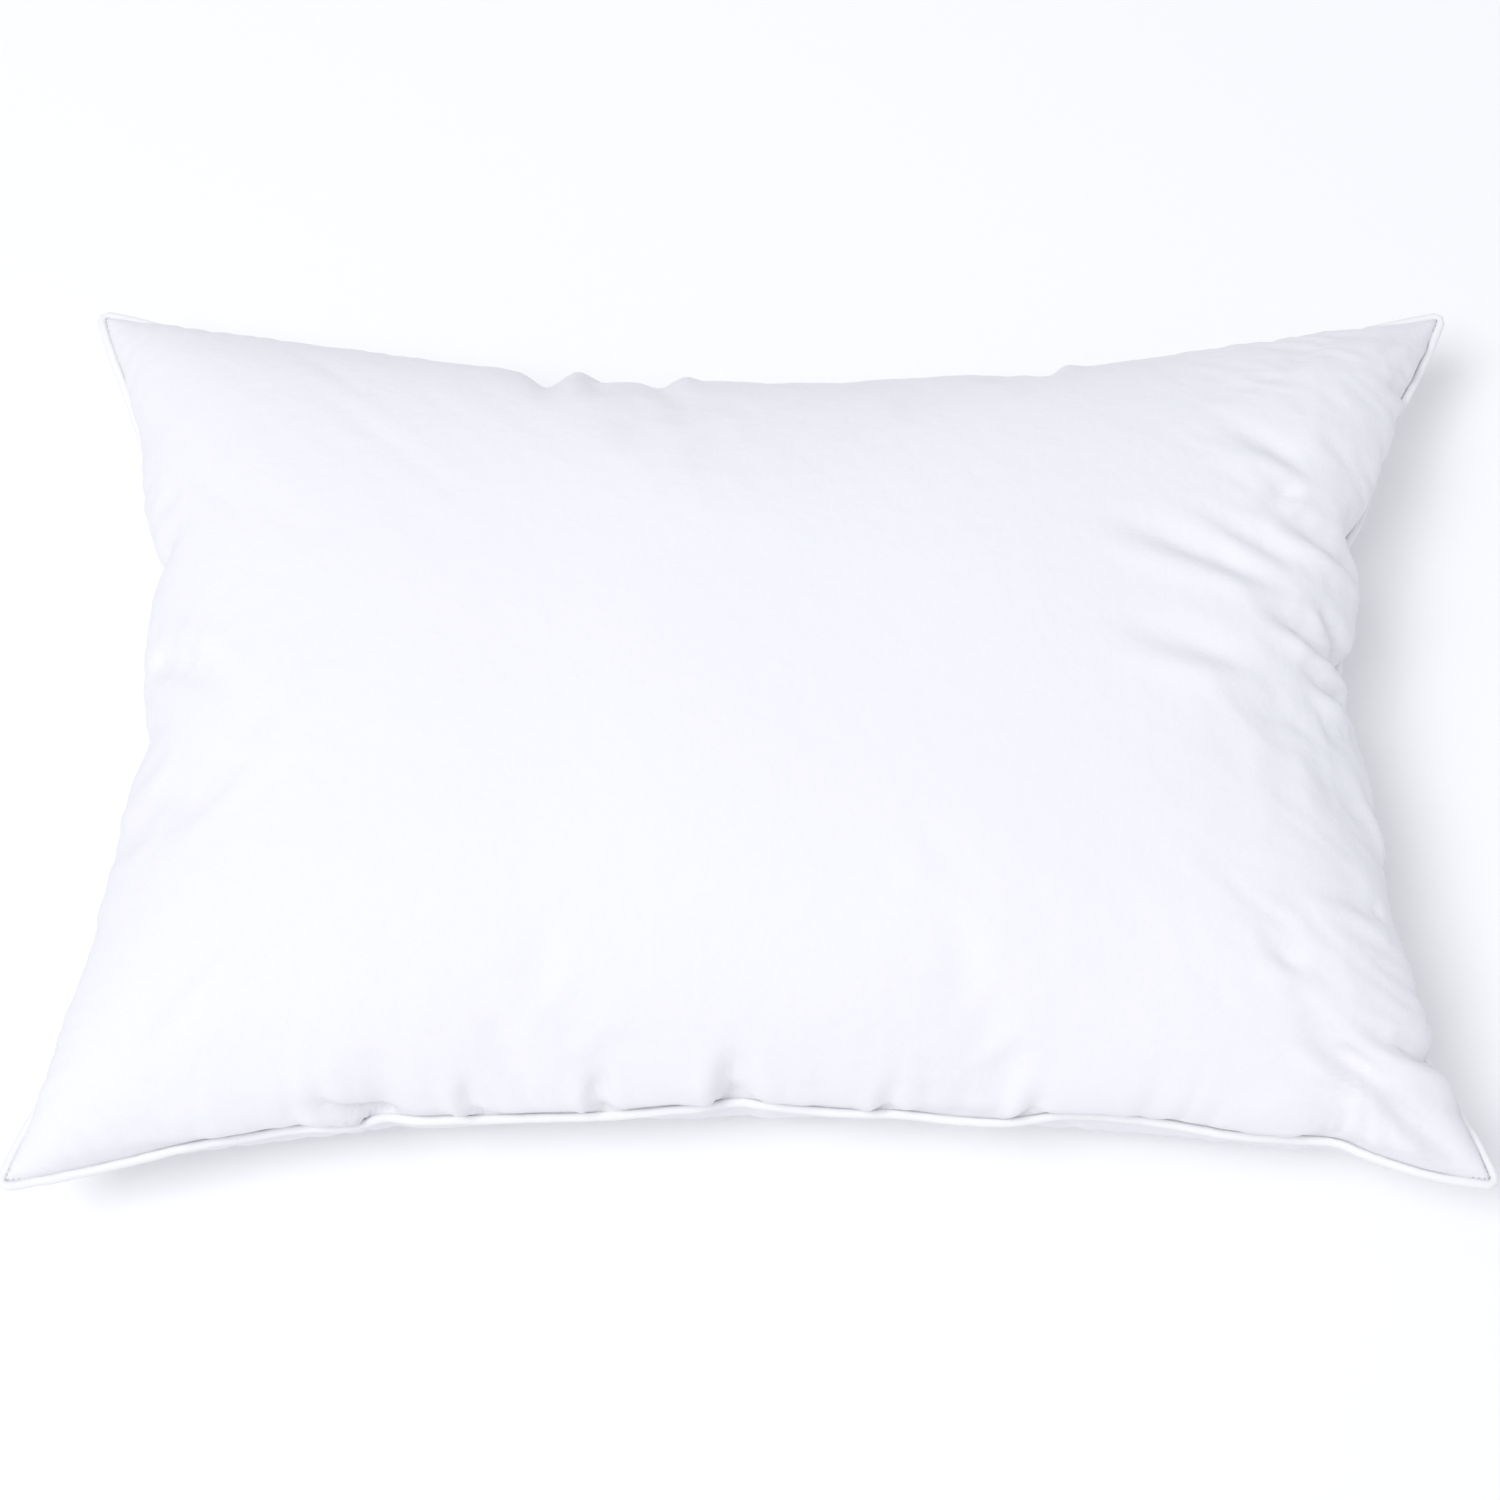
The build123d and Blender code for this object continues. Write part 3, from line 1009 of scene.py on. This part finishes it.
class PILLOW_OT_piping(Operator):
    """Wrap the bias strip round the filler cord, and lay both along the seam."""
    bl_idname = "pillow.piping"
    bl_label = "Add Piping"

    def execute(self, context):
        shell, sewing = shell_and_sewing(context)
        seam = Seam(shell, sewing.trim)
        axis = seam.line(seam.travel, PIPING_RADIUS + piping_wander(seam.travel), 0)
        cord = strand("piping_cord", axis, UPRIGHT, CORD_RADIUS, 12, True, 0.12, 3, 0.009)
        new_piece("filler_cord", cord, spun_yarn(
            "twisted_cotton_cord", sewing.cord_colour, 0.0009, 900), "piping_cord")
        self.add_cover(shell, sewing, seam)
        return {"FINISHED"}

    def add_cover(self, shell, sewing, seam):
        """Strip that goes round the cord, its two edges side by side inside the seam."""
        middle = (CORD_RADIUS + PIPING_RADIUS) / 2
        half = shell.thickness / 2
        mouth = math.asin(half / middle)
        round_steps, tail_steps = 16, 3
        angles = np.linspace(math.pi - mouth, mouth - math.pi, round_steps + 1)
        rows = []
        for share in np.linspace(1, 0, tail_steps, endpoint=False):
            rows.append(seam.line(seam.travel, -share * seam.width, half))
        wander = piping_wander(seam.travel)
        for angle in angles:
            wrinkle = WRINKLE * math.sin(abs(angle) / 2 + mouth)
            girth = middle + wrinkle * wrinkles(seam.travel, angle)
            outward = PIPING_RADIUS + wander + girth * math.cos(angle)
            rows.append(seam.line(seam.travel, outward, girth * math.sin(angle)))
        for share in np.linspace(0, 1, tail_steps + 1)[1:]:
            rows.append(seam.line(seam.travel, -share * seam.width, -half))
        sections = np.stack(rows, axis=1)
        strip_width = 2 * math.pi * middle + 2 * shell.allowance
        mesh = swept_grid("piping_cover", sections, True, False, seam.reach, strip_width)
        cotton = woven_cotton(
            "bias_cut_cotton", sewing.piping_colour, 0.00036, math.radians(45), 0.2)
        piece = new_piece("bias_strip", mesh, cotton, "piping_cover")
        add_solidify(piece, shell.thickness, 0)


def stitch_steps(sewing, seam, steps):
    """Number of stitches round the seam, and the distances of the even steps in them."""
    stitches = round(seam.reach / sewing.stitch)
    return stitches, np.arange(stitches * steps) * seam.reach / (stitches * steps)


def seam_thread_path(shell, sewing, seam, side):
    """Lockstitch: straight on the cloth, dipping into it at each needle hole."""
    stitches, distances = stitch_steps(sewing, seam, 5)
    dip = np.abs(np.cos(math.pi * distances * stitches / seam.reach)) ** 6
    cloths = 1 + seam.read(seam.width, distances) / shell.allowance
    level = cloths * shell.thickness + sewing.thread * (0.6 - 0.7 * dip)
    return seam.line(distances, -sewing.seam_inset, side * level)


class PILLOW_OT_seam_threads(Operator):
    """Sew the two threads of the lockstitch seam, on the allowance above and below."""
    bl_idname = "pillow.seam_threads"
    bl_label = "Sew Seam"

    def execute(self, context):
        shell, sewing = shell_and_sewing(context)
        seam = Seam(shell, sewing.trim)
        spun = spun_yarn("spun_thread", sewing.thread_colour, 0.0004, 3000)
        for name, side in (("needle_thread", 1), ("bobbin_thread", -1)):
            path = seam_thread_path(shell, sewing, seam, side)
            mesh = strand(name, path, UPRIGHT, sewing.thread / 2, 6, True)
            new_piece(name, mesh, spun, "seam_" + name)
        self.add_overlock(shell, sewing, seam, spun)
        self.add_closure(shell, sewing, seam, spun)
        return {"FINISHED"}

    def add_overlock(self, shell, sewing, seam, spun):
        """Overlock thread: one flat loop round the raw edges for each stitch."""
        steps = 10
        stitches, distances = stitch_steps(sewing, seam, steps)
        turn = 2 * math.pi * np.arange(stitches * steps) / steps
        squareness = 0.4
        swing = np.sign(np.cos(turn)) * np.abs(np.cos(turn)) ** squareness
        rise = np.sign(np.sin(turn)) * np.abs(np.sin(turn)) ** squareness
        edge = seam.read(seam.width, distances)
        half = np.minimum(sewing.overlock, 0.7 * edge) / 2
        outward = -(edge + sewing.thread / 2) + half * (1 + swing)
        level = 2 * shell.thickness + sewing.thread / 2
        path = seam.line(distances, outward, rise * level)
        along = unit(np.cross(seam.read(seam.up, distances), seam.read(seam.out, distances)))
        mesh = strand("overlock_thread", path, along, sewing.thread / 2, 5, True)
        new_piece("overlock_stitch", mesh, spun, "overlock_thread")

    def add_closure(self, shell, sewing, seam, spun):
        """Slip stitches that close the filling opening, in the groove above the piping."""
        middle = 2 * shell.cut_length + 1.5 * shell.cut_width
        steps = 6
        stitches = round(sewing.opening / sewing.stitch / 2)
        distances = middle + np.linspace(-0.5, 0.5, stitches * steps + 1) * sewing.opening
        wave = np.cos(2 * math.pi * np.arange(len(distances)) / steps)
        outward, sway = 0.0002, 0.0004
        path = seam.line(
            distances, outward + sway * wave,
            shell.thickness + sewing.thread * (0.9 + 0.1 * wave))
        mesh = strand("closure_thread", path, UPRIGHT, sewing.thread / 2, 6, False)
        new_piece("closing_thread", mesh, spun, "closure_thread")


class PILLOW_OT_studio(Operator):
    """Set up the pale floor, the soft light and the camera."""
    bl_idname = "pillow.studio"
    bl_label = "Set Up Studio"

    def execute(self, context):
        scene = context.scene
        studio = scene.pillow_studio
        self.add_floor(scene, studio)
        self.add_key_light(scene, studio)
        self.light_all_round(scene, studio)
        self.add_camera(scene, studio)
        scene.view_settings.view_transform = "Standard"
        return {"FINISHED"}

    def add_floor(self, scene, studio):
        """Level floor that the pillow lies on."""
        bm = bmesh.new()
        bmesh.ops.create_grid(bm, x_segments=8, y_segments=8, size=6)
        floor = bpy.data.objects.new("floor", mesh_from(bm, "floor"))
        floor.data.materials.append(plain_floor("pale_floor", studio.floor_colour))
        scene.collection.objects.link(floor)

    def add_key_light(self, scene, studio):
        """Large soft light above and to the left, which faces the middle of the pillow."""
        light = bpy.data.lights.new("key_light", "AREA")
        light.size = 1.8
        light.energy = studio.key
        lamp = bpy.data.objects.new("key_light", light)
        lamp.location = (-1.6, -1.4, 4.9)
        aim = Vector((0, 0, SEAM_HEIGHT)) - lamp.location
        lamp.rotation_euler = aim.to_track_quat("-Z", "Y").to_euler()
        scene.collection.objects.link(lamp)

    def light_all_round(self, scene, studio):
        """Even light from the whole sky."""
        world = bpy.data.worlds.new("soft_room")
        world.use_nodes = True
        sky = world.node_tree.nodes["Background"]
        sky.inputs["Color"].default_value = (0.93, 0.945, 1, 1)
        sky.inputs["Strength"].default_value = studio.ambient
        scene.world = world

    def add_camera(self, scene, studio):
        """Camera in front of the near long side, looking steeply down."""
        camera = bpy.data.objects.new("camera", bpy.data.cameras.new("camera"))
        camera.data.angle = studio.field
        aim = Vector((-0.0055, -0.013, SEAM_HEIGHT))
        back = Vector((0, -math.cos(studio.elevation), math.sin(studio.elevation)))
        camera.location = aim + studio.distance * back
        camera.rotation_euler = (-back).to_track_quat("-Z", "Y").to_euler()
        scene.collection.objects.link(camera)
        scene.camera = camera


class PILLOW_PT_sidebar(Panel):
    """Pillow maker in the sidebar."""
    bl_idname = "PILLOW_PT_sidebar"
    bl_label = "Piped Bed Pillow"
    bl_space_type = "VIEW_3D"
    bl_region_type = "UI"
    bl_category = "Pillow"

    def draw(self, context):
        layout = self.layout
        for operator in OPERATORS:
            layout.operator(operator.bl_idname)
        for name in GROUPS:
            group = getattr(context.scene, name)
            box = layout.box()
            for key in group.bl_rna.properties.keys():
                if key not in ("rna_type", "name"):
                    box.prop(group, key)


OPERATORS = (
    PILLOW_OT_shell,
    PILLOW_OT_filling,
    PILLOW_OT_piping,
    PILLOW_OT_seam_threads,
    PILLOW_OT_studio,
)
GROUPS = {
    "pillow_shell": PillowShell,
    "pillow_sewing": PillowSewing,
    "pillow_studio": PillowStudio,
}


def register():
    """Register the settings, the operators and the panel."""
    for name, group in GROUPS.items():
        bpy.utils.register_class(group)
        setattr(bpy.types.Scene, name, PointerProperty(type=group))
    for part in (*OPERATORS, PILLOW_PT_sidebar):
        bpy.utils.register_class(part)


def unregister():
    """Take back all that register adds."""
    for part in (PILLOW_PT_sidebar, *reversed(OPERATORS)):
        bpy.utils.unregister_class(part)
    for name, group in GROUPS.items():
        delattr(bpy.types.Scene, name)
        bpy.utils.unregister_class(group)


def main():
    """Make the whole pillow and its studio."""
    register()
    bpy.ops.pillow.shell()
    bpy.ops.pillow.filling()
    bpy.ops.pillow.piping()
    bpy.ops.pillow.seam_threads()
    bpy.ops.pillow.studio()


if __name__ == "__main__":
    main()
